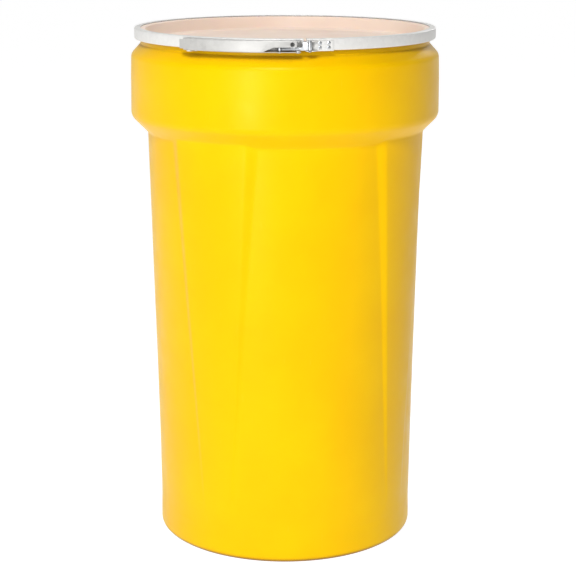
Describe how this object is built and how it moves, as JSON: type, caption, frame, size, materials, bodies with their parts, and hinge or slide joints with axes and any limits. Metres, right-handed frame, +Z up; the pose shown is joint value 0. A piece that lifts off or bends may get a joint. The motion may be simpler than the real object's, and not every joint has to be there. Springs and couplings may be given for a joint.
{
  "type": "overpack salvage drum",
  "caption": "Open-head yellow plastic overpack drum with tapered ribbed side, wide lifting collar, sunk lid and over-centre lever closing ring.",
  "frame": {"origin": "centre of the drum's base, on the floor", "axes": "+Z up along the drum's axis, -Y towards the front where the closing lever is, +X to the right seen from the front"},
  "size_m": [0.5945, 0.5994, 1],
  "materials": {
    "yellow_hdpe": "semi-gloss blow-moulded polyethylene, through-coloured yellow",
    "natural_hdpe": "satin moulded polyethylene, off-white",
    "galvanised_steel": "bright galvanised sheet",
    "zinc_plated_steel": "clear zinc plate",
    "epdm_rubber": "matt moulded rubber"
  },
  "bodies": {
    "drum": {"drum_body": "yellow_hdpe"},
    "lid": {"lid": "natural_hdpe", "lid_gasket": "epdm_rubber"},
    "ring": {"closure_band": "galvanised_steel", "hinge_bracket": "galvanised_steel", "keeper_bracket": "galvanised_steel", "seal_lug": "galvanised_steel", "lower_fulcrum_rivet": "zinc_plated_steel", "upper_fulcrum_rivet": "zinc_plated_steel", "hinge_rivet_1": "zinc_plated_steel", "hinge_rivet_2": "zinc_plated_steel", "hinge_rivet_3": "zinc_plated_steel", "hinge_rivet_4": "zinc_plated_steel", "keeper_rivet_1": "zinc_plated_steel", "keeper_rivet_2": "zinc_plated_steel", "keeper_rivet_3": "zinc_plated_steel", "keeper_rivet_4": "zinc_plated_steel", "lug_rivet_1": "zinc_plated_steel", "lug_rivet_2": "zinc_plated_steel"},
    "lever": {"lever": "galvanised_steel", "link_pin": "zinc_plated_steel"},
    "link": {"toggle_link": "zinc_plated_steel", "hook_pin": "zinc_plated_steel"}
  },
  "joints": [
    {"name": "lid_lift", "type": "slide", "parent": "drum", "child": "lid", "axis": [0, 0, 1], "range_m": [0, 0.35]},
    {"name": "ring_lift", "type": "slide", "parent": "lid", "child": "ring", "axis": [0, 0, 1], "range_m": [0, 0.25], "deforming": ["closure_band"]},
    {"name": "lever_swing", "type": "hinge", "parent": "ring", "child": "lever", "pos_m": [0.02271, -0.29513, 0.9875], "axis": [0, 0, 1], "range_deg": [0, 115]},
    {"name": "link_swing", "type": "hinge", "parent": "lever", "child": "link", "pos_m": [-0.00927, -0.29485, 0.9828], "axis": [0, 0, 1], "range_deg": [-115, 0]}
  ],
  "couplings": [
    {"joint": "link_swing", "follows": "lever_swing", "ratio": -1}
  ]
}
